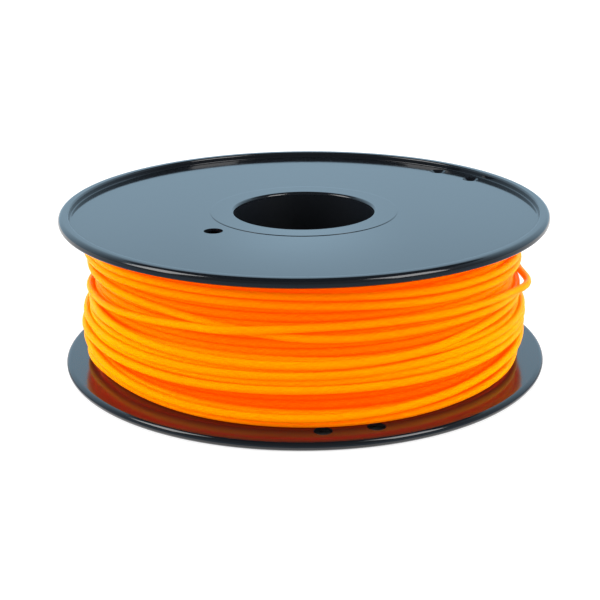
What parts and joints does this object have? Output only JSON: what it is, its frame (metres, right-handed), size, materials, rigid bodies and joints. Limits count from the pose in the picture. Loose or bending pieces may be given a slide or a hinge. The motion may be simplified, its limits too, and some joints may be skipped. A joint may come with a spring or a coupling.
{
  "type": "filament spool",
  "caption": "Flanged plastic spool of round 3D-printer filament, with a plain spindle bore, raised rims, tie holes near the rims and filament wound on the drum.",
  "frame": {"origin": "on the axis of the bore, at the height of the lower rim's resting face", "axes": "+Z along the bore, from the lower flange to the upper one; +Y away from the pictured side"},
  "size_m": [0.2, 0.2, 0.065],
  "materials": {
    "black_plastic": "glossy moulded black polystyrene",
    "orange_filament": "translucent fluorescent orange extruded plastic"
  },
  "bodies": {
    "root": {"lower_flange": "black_plastic", "upper_flange": "black_plastic", "hub_core": "black_plastic", "filament_core": "orange_filament", "filament_outer_turns": "orange_filament"}
  },
  "joints": []
}
